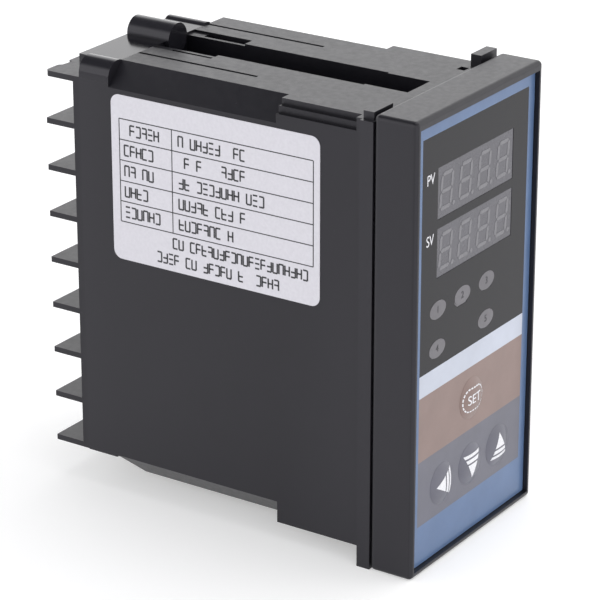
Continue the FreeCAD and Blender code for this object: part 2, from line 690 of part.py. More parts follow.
def display_window():
    """Smoked window film with clear areas over the displays and lamps."""
    body = new_body("display_window")
    outline = face_sketch(body, "window_outline", "dims.recess - dims.film")
    draw_rectangle(outline, ("-dims.window_half", "dims.window_half"), ("dims.window_low", "dims.window_high"))
    pad_back(body, outline, "dims.film", "window_film")
    clear = face_sketch(body, "clear_areas", "0")
    draw_digits(clear, "0")
    draw_lamps(clear, "0")
    pocket_back(body, clear, "dims.recess + 1", "window_openings")
    finish(body, "display_window")


def displays():
    """Two four-digit display modules and the five lamp lenses."""
    for name in ("pv", "sv"):
        module = block(("-dims.digit_half + dims.lens_gap", "dims.digit_half - dims.lens_gap"),
                       ("dims.display_front", "dims.front_board"),
                       (f"dims.{name}_low + dims.lens_gap", f"dims.{name}_high - dims.lens_gap"), f"{name}_display")
        finish(module, f"{name}_display")
    body = new_body("indicator_lamps")
    body.AllowCompound = True
    sketch = face_sketch(body, "lamp_outline", "dims.display_front")
    draw_lamps(sketch, "-dims.lens_gap")
    pad_back(body, sketch, "dims.front_board - dims.display_front", "lamps")
    finish(body, "indicator_lamps")


def keys():
    """Domed keys with stems, each pressing the plunger of its own switch."""
    for label in KEYS:
        x, z = key_place(label)
        body = new_body(label)
        profile = body_sketch(body, label + "_profile", "YZ_Plane", x)
        draw_axis(profile, z)
        draw_outline(profile, [
            ("dims.key_apex", z), ("dims.key_apex", f"{z} + dims.key_radius * 0.35"),
            ("dims.key_apex + 0.25", f"{z} + dims.key_radius * 0.7"), ("dims.key_rim", f"{z} + dims.key_radius"),
            ("dims.recess", f"{z} + dims.key_radius"), ("dims.recess", f"{z} + dims.stem_radius"),
            ("dims.switch_front - dims.key_travel - 0.75", f"{z} + dims.stem_radius"),
            ("dims.switch_front - dims.key_travel - 0.75", z)])
        turn = body.newObject("PartDesign::Revolution", label + "_turned")
        turn.Profile = profile
        turn.ReferenceAxis = (profile, ["Axis0"])
        turn.Angle = 360
        doc.recompute()
        finish(body, label)
        stem_end = "dims.switch_front - dims.key_travel - 0.75"
        plunger = rod_y("dims.plunger_radius", x, (stem_end, "dims.switch_front + 0.4"), z, label + "_plunger")
        finish(plunger, label.replace("_key", "_plunger"))
    side = "dims.switch_side / 2"
    case = block((f"-{side}", side), ("dims.switch_front", "dims.front_board"), (f"-{side}", side), "switch_case")
    well = rod_y("dims.plunger_radius + 0.1", "0", ("dims.switch_front - 1", "dims.switch_front + 1.2"), "0", "well")
    switch = cut(case, [well], "switch")
    doc.recompute()
    places = [Vector(number(key_place(label)[0]), 0, number(key_place(label)[1])) for label in KEYS]
    copies(switch, places, "key_switches")


# ---------------------------------------------------------------- boards

def flat_board(label, role, offset, across, up, holes=()):
    """A circuit board: a rectangle on an origin plane, with round holes."""
    body = new_body(label)
    sketch = body_sketch(body, label + "_outline", role, offset)
    draw_rectangle(sketch, across, up)
    for x, y, radius in holes:
        draw_circle(sketch, x, y, radius)
    pad = body.newObject("PartDesign::Pad", label + "_sheet")
    pad.Profile = sketch
    pad.Reversed = role == "XZ_Plane"
    bind(pad, Length="dims.board")
    doc.recompute()
    finish(body, label)


def boards():
    """Display board across the front, and two side boards running to the rear sockets."""
    flat_board("display_board", "XZ_Plane", "-dims.front_board", ("-dims.board_half", "dims.board_half"),
               ("dims.board_low", "dims.board_high"))
    depths = ("dims.side_board_front", "dims.side_board_rear - 0.5")
    heights = ("dims.board_low", "dims.board_high")
    holes = [("dims.side_board_rear - 8", f"dims.board_{end} {sign} 5", "1.6")
             for end, sign in (("low", "+"), ("high", "-"))]
    flat_board("main_board", "YZ_Plane", "-dims.side_board - dims.board", depths, heights, holes)
    flat_board("power_board", "YZ_Plane", "dims.side_board", depths, heights, holes)
    strips = [block((f"{side} * dims.side_board - {1.25 + side * 1.25}", f"{side} * dims.side_board + {1.25 - side * 1.25}"),
                    ("dims.front_board + dims.board", "dims.side_board_front + 5"), (low, high), "header_strip")
              for side in (-1, 1) for low, high in (("40", "60"),)]
    headers = doc.addObject("Part::Compound", "board_headers")
    headers.Links = strips
    finish(headers, "board_headers")
    spacers = doc.addObject("Part::Compound", "board_spacers")
    spacers.Links = [rod_x("2.5", ("-dims.side_board", "dims.side_board"), "dims.side_board_rear - 8", level, "spacer")
                     for level in ("dims.board_low + 5", "dims.board_high - 5")]
    finish(spacers, "board_spacers")


def sockets():
    """Slotted socket strips at the rear of the side boards; the terminal blades enter their slots."""
    for label, side in (("left_socket", -1), ("right_socket", 1)):
        near, far = "dims.side_board - 3", "dims.side_board"
        across = (near, far) if side > 0 else (f"-{far}", f"-({near})")
        strip = block(across, ("dims.case_rear - 8", "dims.case_rear - 3.6"),
                      ("dims.board_low + 1", "dims.board_high - 1"), label + "_strip")
        blade = f"{side} * (dims.terminal_x + dims.blade_offset)"
        opening = "dims.blade_half + 0.2"
        slots = [block((f"{blade} - 0.6", f"{blade} + 0.6"), ("dims.case_rear - 7", "dims.case_rear"),
                       (f"{bay_height(row)} - ({opening})", f"{bay_height(row)} + {opening}"), "slot")
                 for row in range(TERMINAL_ROWS)]
        finish(cut(strip, slots, label), label)


def power_parts():
    """Mains side: transformer, relays, capacitor, fuse and varistor on the right-hand board."""
    face = "dims.side_board"
    core = block(("1.5", f"{face} - 0.6"), ("44", "66"), ("15", "41"), "core_block")
    windows = [block(("0", f"{face} + 1"), (front, rear), ("19", "37"), "core_window")
               for front, rear in (("47.6", "52"), ("58", "62.4"))]
    finish(cut(core, windows, "transformer_core"), "transformer_core")
    coil = block(("-0.5", face), ("47.8", "62.2"), ("19.2", "36.8"), "coil_block")
    leg = block(("1.4", f"{face} - 0.5"), ("51.9", "58.1"), ("18", "38"), "coil_leg")
    finish(cut(coil, [leg], "transformer_coil"), "transformer_coil")
    finish(block(("0.6", face), ("18", "37"), ("62", "77"), "output_relay"), "output_relay")
    finish(block(("0.6", face), ("42", "61"), ("62", "77"), "alarm_relay"), "alarm_relay")
    finish(rod_x("5", ("0", face), "28", "30", "filter_capacitor"), "filter_capacitor")
    finish(rod_x("5.5", (f"{face} - 4.5", face), "38", "50", "varistor"), "varistor")
    finish(rod_y("2.6", f"{face} - 3", ("48", "68"), "50", "fuse"), "fuse")


def signal_parts():
    """Signal side: processor, smaller chips and crystal on the left-hand board."""
    def chip(rows, across, height="3.4"):
        return block((f"-dims.side_board", f"-dims.side_board + {height}"), rows, across, "chip")
    finish(chip(("24", "38"), ("24", "76")), "processor_chip")
    chips = doc.addObject("Part::Compound", "signal_chips")
    chips.Links = [chip(("48", "55"), (str(low), str(low + 10))) for low in (24, 42, 60)]
    finish(chips, "signal_chips")
    finish(chip(("42", "45.6"), ("44", "55"), "3.5"), "crystal")


def main():
    case_shell()
    bracket_bar()
    rating_label()
    terminal_base()
    terminal_metal()
    bezel()
    front_overlay()
    display_window()
    displays()
    keys()
    boards()
    sockets()
    power_parts()
    signal_parts()
    doc.recompute()
    for thing in doc.Objects:
        if "Invalid" in thing.State or "Error" in thing.State:
            raise RuntimeError(f"{thing.Label} failed: {thing.State}")
    os.makedirs("parts", exist_ok=True)
    for part in PARTS:
        if part.Shape.isNull() or not part.Shape.isValid():
            raise RuntimeError(f"{part.Label} has no valid shape")
        part.Shape.exportStep(os.path.join("parts", part.Label + ".step"))
        box = part.Shape.BoundBox
        print(f"{part.Label:20s} solids {len(part.Shape.Solids):2d} volume {part.Shape.Volume:10.2f} "
              f"x {box.XMin:.2f} {box.XMax:.2f} y {box.YMin:.2f} {box.YMax:.2f} z {box.ZMin:.2f} {box.ZMax:.2f}")


main()
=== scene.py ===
"""Looks for a panel-mounted temperature controller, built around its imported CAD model.

Every length is in metres in the model's own frame: +Z up, the front towards -Y, +X to the right of someone
facing the front. Places are worked out from the CAD nodes' boxes.
"""
import math
import random

import bmesh
import bpy
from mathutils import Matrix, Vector
from mathutils.bvhtree import BVHTree


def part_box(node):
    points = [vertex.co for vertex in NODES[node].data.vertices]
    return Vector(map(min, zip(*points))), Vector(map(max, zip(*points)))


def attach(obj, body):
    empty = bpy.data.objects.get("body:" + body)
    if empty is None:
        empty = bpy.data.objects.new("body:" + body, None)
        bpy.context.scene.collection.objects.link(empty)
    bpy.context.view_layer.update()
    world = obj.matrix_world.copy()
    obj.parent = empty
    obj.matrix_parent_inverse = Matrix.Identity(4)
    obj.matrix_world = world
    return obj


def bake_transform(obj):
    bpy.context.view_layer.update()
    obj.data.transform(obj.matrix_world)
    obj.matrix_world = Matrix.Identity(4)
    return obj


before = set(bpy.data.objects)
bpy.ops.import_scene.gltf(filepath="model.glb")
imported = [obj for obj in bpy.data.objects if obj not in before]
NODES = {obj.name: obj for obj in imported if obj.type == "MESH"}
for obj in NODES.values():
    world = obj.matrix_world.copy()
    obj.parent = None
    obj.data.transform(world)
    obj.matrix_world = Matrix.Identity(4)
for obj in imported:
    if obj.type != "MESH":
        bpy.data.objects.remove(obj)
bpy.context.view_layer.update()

MM = 0.001
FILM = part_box("front_overlay")
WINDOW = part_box("display_window")
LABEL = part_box("rating_label")
KEY_NAMES = ("set", "shift", "down", "up")

# Where the glossy rear hood of the case begins; the stop bar overhangs the channel in front of it.
BAR_OVERHANG = 1.1 * MM
HOOD_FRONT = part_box("bracket_bar")[0].y + BAR_OVERHANG
HOOD_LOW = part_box("terminal_base")[1].z

# Heights of the printed fields below the window.
STRIPE_LOW = WINDOW[0].z - 4.7 * MM
TAN_LOW = WINDOW[0].z - 18.5 * MM
GREY_LOW = WINDOW[0].z - 32.6 * MM

# How far print stands off what it is printed on, and how thick print and letters are.
INK_LIFT = 0.02 * MM
INK = 0.03 * MM
LETTER = 0.04 * MM


# ---------------------------------------------------------------- shader helpers

class Shader:
    """A node material with a Principled surface and a few shortcuts for procedural detail."""

    def __init__(self, name):
        self.material = bpy.data.materials.new(name)
        self.material.use_nodes = True
        self.tree = self.material.node_tree
        self.surface = self.tree.nodes["Principled BSDF"]
        self.place = self.tree.nodes.new("ShaderNodeTexCoord").outputs["Object"]

    def node(self, kind, **settings):
        made = self.tree.nodes.new(kind)
        for name, value in settings.items():
            setattr(made, name, value)
        return made

    def link(self, source, target):
        self.tree.links.new(source, target)

    def set(self, **values):
        """Constant values, straight on the surface's sockets."""
        for name, value in values.items():
            self.surface.inputs[name.replace("_", " ")].default_value = value
        return self

    def noise(self, size, detail=3.0, stretch=(1, 1, 1)):
        """Noise whose features are about this many metres across."""
        mapping = self.node("ShaderNodeMapping")
        mapping.inputs["Scale"].default_value = stretch
        self.link(self.place, mapping.inputs["Vector"])
        made = self.node("ShaderNodeTexNoise")
        made.inputs["Scale"].default_value = 1 / size
        made.inputs["Detail"].default_value = detail
        self.link(mapping.outputs["Vector"], made.inputs["Vector"])
        return made.outputs["Fac"]

    def ramp(self, value, stops):
        """Colours along a value; each stop is (position, colour)."""
        made = self.node("ShaderNodeValToRGB")
        elements = made.color_ramp.elements
        while len(elements) < len(stops):
            elements.new(0.5)
        for element, (position, colour) in zip(elements, stops):
            element.position = position
            element.color = (*colour, 1)
        self.link(value, made.inputs["Fac"])
        return made.outputs["Color"]

    def spread(self, value, low, high):
        """A value from 0 to 1 mapped onto a range."""
        made = self.node("ShaderNodeMapRange")
        made.inputs["To Min"].default_value = low
        made.inputs["To Max"].default_value = high
        self.link(value, made.inputs["Value"])
        return made.outputs["Result"]

    def math(self, operation, first, second=None):
        made = self.node("ShaderNodeMath", operation=operation)
        for socket, value in zip(made.inputs, (first, second)):
            if isinstance(value, (int, float)):
                socket.default_value = value
            elif value is not None:
                self.link(value, socket)
        return made.outputs["Value"]

    def mix(self, factor, first, second):
        made = self.node("ShaderNodeMix", data_type="RGBA")
        self.link(factor, made.inputs[0])
        for socket, value in ((made.inputs[6], first), (made.inputs[7], second)):
            if isinstance(value, tuple):
                socket.default_value = (*value, 1)
            else:
                self.link(value, socket)
        return made.outputs[2]

    def axes(self):
        """Object X, Y and Z as three values."""
        made = self.node("ShaderNodeSeparateXYZ")
        self.link(self.place, made.inputs["Vector"])
        return made.outputs

    def inside(self, value, low, high):
        """1 where a value lies between two numbers."""
        above = self.math("GREATER_THAN", value, low)
        below = self.math("LESS_THAN", value, high)
        return self.math("MULTIPLY", above, below)

    def bump(self, height, strength, distance):
        """Relief; height is a value from 0 to 1 and distance its depth in metres."""
        made = self.node("ShaderNodeBump")
        made.inputs["Strength"].default_value = strength
        made.inputs["Distance"].default_value = distance
        self.link(height, made.inputs["Height"])
        self.link(made.outputs["Normal"], self.surface.inputs["Normal"])

    def colour(self, source):
        self.link(source, self.surface.inputs["Base Color"])

    def roughness(self, source):
        self.link(source, self.surface.inputs["Roughness"])

    def scuffs(self):
        """1 on sparse dust specks and short hair-line scratches, 0 elsewhere."""
        cells = self.node("ShaderNodeTexVoronoi")
        cells.inputs["Scale"].default_value = 1 / (4 * MM)
        self.link(self.place, cells.inputs["Vector"])
        speck_size, scratch_level = 0.028, 0.80
        along_depth = (1, 0.08, 1)
        specks = self.math("LESS_THAN", cells.outputs["Distance"], speck_size)
        scratches = self.math("GREATER_THAN", self.noise(1.4 * MM, 2, along_depth), scratch_level)
        return self.math("MAXIMUM", specks, scratches)

    def edge_wear(self):
        """1 along convex edges, where paler colour is painted as wear and as a highlight, 0 on flat faces.
        """
        geometry = self.node("ShaderNodeNewGeometry")
        made = self.node("ShaderNodeMapRange")
        made.inputs["From Min"].default_value = 0.53
        made.inputs["From Max"].default_value = 0.62
        self.link(geometry.outputs["Pointiness"], made.inputs["Value"])
        return made.outputs["Result"]


def scaled(colour, factor):
    """A colour with each of its parts multiplied."""
    return tuple(c * factor for c in colour)


def moulded(name, colour, rough, depth=0.3, polished=None):
    """Injection-moulded plastic: fine spark texture, faint flow mottling, edges painted paler as wear and as
    a painted highlight, and a few scuffs.

    polished, if given, makes a value that is 1 where the tool was polished and left no texture.
    """
    shade = Shader(name).set(Specular_IOR_Level=0.43, Specular_Tint=(0.95, 0.93, 1, 1))
    mottling = 0.12
    # Paler plastic painted along convex edges, partly as wear and partly as a painted highlight; the scuffs
    # take a lighter copy of it.
    wear_and_highlight_colour = tuple(c + 0.004 for c in scaled(colour, 1.5))
    flow = [(0.3, scaled(colour, 1 - mottling)), (0.7, scaled(colour, 1 + mottling))]
    edged = shade.mix(shade.edge_wear(), shade.ramp(shade.noise(9 * MM, 4), flow), wear_and_highlight_colour)
    shade.colour(shade.mix(shade.scuffs(), edged, scaled(wear_and_highlight_colour, 2.2)))
    matt = shade.spread(shade.noise(1.2 * MM, 7), rough - 0.09, rough + 0.09)
    relief = shade.noise(0.16 * MM, 3)
    if polished is not None:
        textured = shade.math("SUBTRACT", 1, polished(shade))
        gloss = shade.spread(shade.noise(5 * MM, 3), 0.10, 0.17)
        difference = shade.math("SUBTRACT", matt, gloss)
        matt = shade.math("ADD", gloss, shade.math("MULTIPLY", difference, textured))
        relief = shade.math("MULTIPLY", relief, textured)
    shade.roughness(matt)
    shade.bump(relief, depth, 0.02 * MM)
    return shade.material


def hood_mask(shade):
    """1 on the rear hood of the case."""
    _, y, z = shade.axes()
    behind = shade.math("GREATER_THAN", y, HOOD_FRONT)
    above = shade.math("GREATER_THAN", z, HOOD_LOW)
    return shade.math("MULTIPLY", behind, above)


def metal(name, colour, rough):
    """Plated metal with fine scratches and dull patches."""
    shade = Shader(name).set(Metallic=1.0)
    shade.colour(shade.ramp(shade.noise(1.3 * MM, 5), [(0.35, scaled(colour, 0.75)), (0.62, colour)]))
    shade.roughness(shade.spread(shade.noise(0.25 * MM, 3), rough - 0.08, rough + 0.15))
    shade.bump(shade.noise(0.1 * MM, 2), 0.25, 0.01 * MM)
    return shade.material


# ---------------------------------------------------------------- mesh helpers

def piece(name, mesh, material, body):
    """A finished mesh as a piece that rides on a body."""
    made = bpy.data.objects.new(name, mesh)
    bpy.context.scene.collection.objects.link(made)
    made.data.materials.clear()
    made.data.materials.append(material)
    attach(made, body)


def mesh_from(name, shapes):
    """One mesh from a list of (corners, faces)."""
    mesh = bpy.data.meshes.new(name)
    corners, faces = [], []
    for points, sides in shapes:
        first = len(corners)
        corners += [tuple(p) for p in points]
        faces += [tuple(first + i for i in side) for side in sides]
    mesh.from_pydata(corners, [], faces)
    mesh.validate()
    edit = bmesh.new()
    edit.from_mesh(mesh)
    bmesh.ops.recalc_face_normals(edit, faces=edit.faces)
    edit.to_mesh(mesh)
    edit.free()
    return mesh


def ring_sides(rings, steps, closed):
    """Faces between neighbouring rings of points; closed joins the last ring to the first."""
    faces = []
    for ring in range(rings if closed else rings - 1):
        first, after = ring * steps, (ring + 1) % rings * steps
        for i in range(steps):
            j = (i + 1) % steps
            faces.append((first + i, first + j, after + j, after + i))
    return faces


def slab(outline, place, thickness):
    """A thin solid from a flat outline in two directions; place turns (a, b, height) into a point."""
    count = len(outline)
    lower = [place(a, b, 0) for a, b in outline]
    upper = [place(a, b, thickness) for a, b in outline]
    sides = [(i, (i + 1) % count, count + (i + 1) % count, count + i) for i in range(count)]
    return lower + upper, [tuple(range(count)), tuple(range(2 * count - 1, count - 1, -1))] + sides


def on_front(y):
    """Places (x, z, height) on a face that looks to the front; height comes towards the viewer."""
    return lambda a, b, height: Vector((a, y - height, b))


def on_left(x):
    """Places (y, z, height) on a face that looks to -X."""
    return lambda a, b, height: Vector((x - height, a, b))


def rectangle(a, b, wide, high):
    left, right, low, high = a - wide / 2, a + wide / 2, b - high / 2, b + high / 2
    return [(left, low), (right, low), (right, high), (left, high)]


def oval(a, b, wide, high, steps=40):
    return [(a + wide / 2 * math.cos(t), b + high / 2 * math.sin(t))
            for t in (2 * math.pi * i / steps for i in range(steps))]


def over(mesh, flat_y):
    """Places (x, z, height) on the front of a mesh, or on a flat front beyond it."""
    tree = BVHTree.FromPolygons([v.co for v in mesh.vertices], [tuple(p.vertices) for p in mesh.polygons])
    well_in_front = flat_y - 5 * MM

    def place(a, b, height):
        hit = tree.ray_cast(Vector((a, well_in_front, b)), Vector((0, 1, 0)))[0]
        return Vector((a, (flat_y if hit is None else hit.y) - height, b))
    return place


def printed(name, outlines, place):
    """Flat shapes as one thin solid, in pieces small enough to follow a curved surface."""
    longest = 0.35 * MM
    edit = bmesh.new()
    for outline in outlines:
        edit.faces.new([edit.verts.new((a, b, 0)) for a, b in outline])
    bmesh.ops.triangulate(edit, faces=edit.faces[:])
    long_edges = [edge for edge in edit.edges if edge.calc_length() > longest]
    while long_edges:
        bmesh.ops.subdivide_edges(edit, edges=long_edges, cuts=1)
        bmesh.ops.triangulate(edit, faces=edit.faces[:])
        long_edges = [edge for edge in edit.edges if edge.calc_length() > longest]
    bmesh.ops.solidify(edit, geom=edit.faces[:], thickness=INK)
    for vertex in edit.verts:
        vertex.co = place(vertex.co.x, vertex.co.y, abs(vertex.co.z) + INK_LIFT)
    bmesh.ops.recalc_face_normals(edit, faces=edit.faces)
    mesh = bpy.data.meshes.new(name)
    edit.to_mesh(mesh)
    edit.free()
    return mesh


def turned(name, profile, centre):
    """A closed profile of (radius, y) turned about the line along Y through a centre."""
    steps = 72
    points = []
    for radius, y in profile:
        for i in range(steps):
            t = 2 * math.pi * i / steps
            points.append((centre.x + radius * math.cos(t), y, centre.z + radius * math.sin(t)))
    mesh = mesh_from(name, [(points, ring_sides(len(profile), steps, True))])
    edit = bmesh.new()
    edit.from_mesh(mesh)
    bmesh.ops.remove_doubles(edit, verts=edit.verts, dist=0.002 * MM)
    bmesh.ops.recalc_face_normals(edit, faces=edit.faces)
    edit.to_mesh(mesh)
    edit.free()
    mesh.shade_smooth()
    mesh.set_sharp_from_angle(angle=math.radians(40))
    return mesh


def chip(x, y, z, along, up):
    """A small part on a side board: x is (foot, top), with its upper edges taken off."""
    foot, top = x
    edge = (top - foot) * 0.3
    inset = abs(edge)
    corners = [(-1, -1), (1, -1), (1, 1), (-1, 1)]
    points = [(foot, y + a * along / 2, z + b * up / 2) for a, b in corners]
    points += [(top - edge, y + a * along / 2, z + b * up / 2) for a, b in corners]
    points += [(top, y + a * (along / 2 - inset), z + b * (up / 2 - inset)) for a, b in corners]
    return points, [(0, 1, 2, 3), (8, 9, 10, 11)] + ring_sides(3, 4, False)


def bead(x, y, z, way):
    """A soldered pin end: a flared foot and a blunt tip, standing out along X."""
    steps = 12
    rings = [(0.9, 0.0), (0.58, 0.2), (0.38, 0.5), (0.3, 0.75)]
    points = []
    for radius, height in rings:
        reach = radius * MM
        for i in range(steps):
            t = 2 * math.pi * i / steps
            points.append((x + way * height * MM, y + reach * math.cos(t), z + reach * math.sin(t)))
    tip = (len(rings) - 1) * steps
    ends = [tuple(range(steps)), tuple(range(tip, tip + steps))]
    return points, ends + ring_sides(len(rings), steps, False)


def lettering(name, text, height, place):
    """Generic letters as a thin solid mesh; place turns (a, b, height) into a point."""
    size_per_height = 1.4
    curve = bpy.data.curves.new(name, "FONT")
    curve.body = text
    curve.size = height * size_per_height
    curve.align_x = "CENTER"
    curve.align_y = "CENTER"
    curve.extrude = LETTER / 2
    source = bpy.data.objects.new(name + "_source", curve)
    bpy.context.scene.collection.objects.link(source)
    bpy.context.view_layer.update()
    mesh = bpy.data.meshes.new_from_object(source)
    bpy.data.objects.remove(source)
    for vertex in mesh.vertices:
        vertex.co = place(vertex.co.x, vertex.co.y, vertex.co.z + LETTER / 2)
    return mesh


def soften(node, width):
    """Small rounded edges on a CAD node, as moulded parts have."""
    bevel = NODES[node].modifiers.new("soft_edges", "BEVEL")
    bevel.width = width
    bevel.segments = 2
    bevel.limit_method = "ANGLE"
    bevel.angle_limit = math.radians(35)


def paint(node, material):
    """Gives a CAD node its material."""
    data = NODES[node].data
    data.materials.clear()
    data.materials.append(material)


# ---------------------------------------------------------------- materials

CHARCOAL = (0.0048, 0.0046, 0.0066)

# The wave texture's scale for ridges one metre apart.
WAVE_PER_METRE = 0.31


def film_material():
    """Printed polyester: blue ground, pale stripe, tan and grey fields, fine emboss."""
    shade = Shader("printed_film").set(Specular_IOR_Level=0.45, Coat_Weight=0.1)
    x, _, z = shade.axes()
    field = shade.inside(x, -WINDOW[1].x, WINDOW[1].x)
    cloud = shade.noise(6 * MM, 3)

    def tinted(colour):
        return shade.ramp(cloud, [(0.3, scaled(colour, 0.94)), (0.7, scaled(colour, 1.06))])

    blue, grey = (0.090, 0.148, 0.275), (0.112, 0.112, 0.142)
    tan, pale = (0.215, 0.148, 0.132), (0.46, 0.49, 0.57)
    bands = ((GREY_LOW, TAN_LOW, grey), (TAN_LOW, STRIPE_LOW, tan), (STRIPE_LOW, WINDOW[0].z, pale))
    result = tinted(blue)
    for low, high, colour in bands:
        band = shade.math("MULTIPLY", field, shade.inside(z, low, high))
        result = shade.mix(band, result, tinted(colour))
    shade.colour(result)
    shade.roughness(shade.spread(shade.noise(1.2 * MM, 4), 0.30, 0.40))
    shade.bump(shade.noise(0.22 * MM, 2), 0.16, 0.02 * MM)
    return shade.material


def tinted_film(name, colour, rough, shine=0.5):
    """A faintly clouded film or lens of one tint."""
    shade = Shader(name).set(Specular_IOR_Level=shine)
    shade.colour(shade.ramp(shade.noise(14 * MM, 3), [(0.25, colour), (0.75, scaled(colour, 1.25))]))
    shade.roughness(shade.spread(shade.noise(2 * MM, 4), rough - 0.04, rough + 0.06))
    shade.bump(shade.noise(0.2 * MM, 2), 0.12, 0.02 * MM)
    return shade.material


def paper_material():
    """Coated paper with visible fibres."""
    shade = Shader("label_paper")
    fibres = [(0.3, (0.54, 0.53, 0.575)), (0.7, (0.58, 0.57, 0.615))]
    shade.colour(shade.ramp(shade.noise(0.6 * MM, 5), fibres))
    shade.roughness(shade.spread(shade.noise(1 * MM, 4), 0.5, 0.62))
    shade.bump(shade.noise(0.15 * MM, 3), 0.2, 0.02 * MM)
    return shade.material


def ink(name, colour, rough=0.5):
    """Screen-printed ink with thin patches."""
    shade = Shader(name)
    faded = tuple(c + 0.01 for c in scaled(colour, 1.3))
    shade.colour(shade.ramp(shade.noise(0.3 * MM, 4), [(0.4, colour), (0.75, faded)]))
    shade.roughness(shade.spread(shade.noise(0.4 * MM, 3), rough - 0.05, rough + 0.08))
    shade.bump(shade.noise(0.1 * MM, 2), 0.1, 0.005 * MM)
    return shade.material


def board_material():
    """Green laminate with copper tracks under the mask."""
    shade = Shader("circuit_board").set(Coat_Weight=0.3)
    mask = shade.ramp(shade.noise(4 * MM, 3), [(0.3, (0.012, 0.075, 0.03)), (0.7, (0.018, 0.10, 0.04))])
    bands = shade.node("ShaderNodeTexBrick")
    black, white = (0, 0, 0, 1), (1, 1, 1, 1)
    settings = {"Scale": 320, "Mortar Size": 0.012, "Color1": black, "Color2": black, "Mortar": white}
    for socket, value in settings.items():
        bands.inputs[socket].default_value = value
    upright = shade.node("ShaderNodeMapping")
    upright.inputs["Rotation"].default_value = (math.radians(90), 0, math.radians(90))
    shade.link(shade.place, upright.inputs["Vector"])
    shade.link(upright.outputs["Vector"], bands.inputs["Vector"])
    patches = shade.math("GREATER_THAN", shade.noise(6 * MM, 1), 0.5)
    tracks = shade.math("MULTIPLY", bands.outputs["Color"], patches)
    shade.colour(shade.mix(tracks, mask, (0.05, 0.20, 0.07)))
    shade.roughness(shade.spread(shade.noise(1 * MM, 3), 0.28, 0.4))
    shade.bump(tracks, 0.4, 0.03 * MM)
    return shade.material


def ridges(shade, axis, pitch, waver):
    """Parallel ridges across an axis, as a value; pitch is in metres."""
    made = shade.node("ShaderNodeTexWave", bands_direction=axis)
    made.inputs["Scale"].default_value = WAVE_PER_METRE / pitch
    made.inputs["Distortion"].default_value = waver
    shade.link(shade.place, made.inputs["Vector"])
    return made.outputs["Fac"]


def winding_material():
    """Tape over wire: fine turns showing as ridges."""
    shade = Shader("coil_tape")
    shade.colour(shade.ramp(shade.noise(3 * MM, 4), [(0.3, (0.46, 0.30, 0.06)), (0.7, (0.60, 0.42, 0.09))]))
    shade.roughness(shade.spread(shade.noise(1.5 * MM, 3), 0.28, 0.4))
    shade.bump(ridges(shade, "Y", 0.55 * MM, 0.4), 0.5, 0.1 * MM)
    return shade.material


def lamination_material():
    """Stacked sheet steel with varnish."""
    shade = Shader("core_laminations").set(Metallic=0.7)
    sheets = ridges(shade, "X", 0.5 * MM, 0.15)
    shade.colour(shade.ramp(sheets, [(0.2, (0.05, 0.045, 0.04)), (0.8, (0.13, 0.12, 0.11))]))
    shade.roughness(shade.spread(shade.noise(2 * MM, 4), 0.35, 0.55))
    shade.bump(sheets, 0.5, 0.06 * MM)
    return shade.material


def dress_nodes(film, lens):
    """A material for every CAD node."""
    case = moulded("case_plastic", CHARCOAL, rough=0.36, depth=0.45, polished=hood_mask)
    for node in ("case_shell", "terminal_base"):
        paint(node, case)
        soften(node, 0.12 * MM)
    paint("bezel", moulded("bezel_plastic", CHARCOAL, rough=0.36))
    paint("bracket_bar", moulded("bar_plastic", CHARCOAL, rough=0.2, depth=0.08))
    soften("bracket_bar", 0.5 * MM)
    paint("rating_label", paper_material())
    paint("front_overlay", film)
    paint("display_window", tinted_film("smoked_film", (0.003, 0.0026, 0.0048), 0.16, 0.26))
    grey = tinted_film("display_face", (0.082, 0.080, 0.092), 0.26, 0.4)
    for node in ("pv_display", "sv_display"):
        paint(node, grey)
    paint("indicator_lamps", lens)
    steel = metal("zinc_steel", (0.62, 0.62, 0.63), rough=0.28)
    paint("terminal_contacts", metal("plated_brass", (0.78, 0.68, 0.45), rough=0.32))
    paint("terminal_washers", steel)
    paint("terminal_screws", steel)
    soften("terminal_screws", 0.08 * MM)
    black = moulded("black_moulding", (0.02, 0.02, 0.021), rough=0.4)
    for node in ("key_switches", "board_headers", "processor_chip", "signal_chips"):
        paint(node, black)
    stem = moulded("stem_plastic", (0.05, 0.05, 0.05), rough=0.35)
    for name in KEY_NAMES:
        paint(f"{name}_key", stem)
        paint(f"{name}_plunger", stem)
    laminate = board_material()
    for node in ("display_board", "main_board", "power_board"):
        paint(node, laminate)
    nylon = moulded("natural_nylon", (0.62, 0.60, 0.52), rough=0.38)
    for node in ("board_spacers", "left_socket", "right_socket"):
        paint(node, nylon)
    paint("transformer_core", lamination_material())
    paint("transformer_coil", winding_material())
    relay = moulded("relay_blue", (0.03, 0.09, 0.32), rough=0.3)
    for node in ("output_relay", "alarm_relay"):
        paint(node, relay)
        soften(node, 0.5 * MM)
    paint("filter_capacitor", moulded("capacitor_sleeve", (0.02, 0.025, 0.09), rough=0.25))
    soften("filter_capacitor", 0.5 * MM)
    paint("varistor", moulded("varistor_coat", (0.03, 0.12, 0.35), rough=0.3))
    soften("varistor", 1.2 * MM)
    paint("fuse", metal("fuse_glass", (0.7, 0.72, 0.72), rough=0.2))
    paint("crystal", metal("crystal_can", (0.72, 0.72, 0.73), rough=0.2))
    soften("crystal", 0.6 * MM)


# ---------------------------------------------------------------- front details

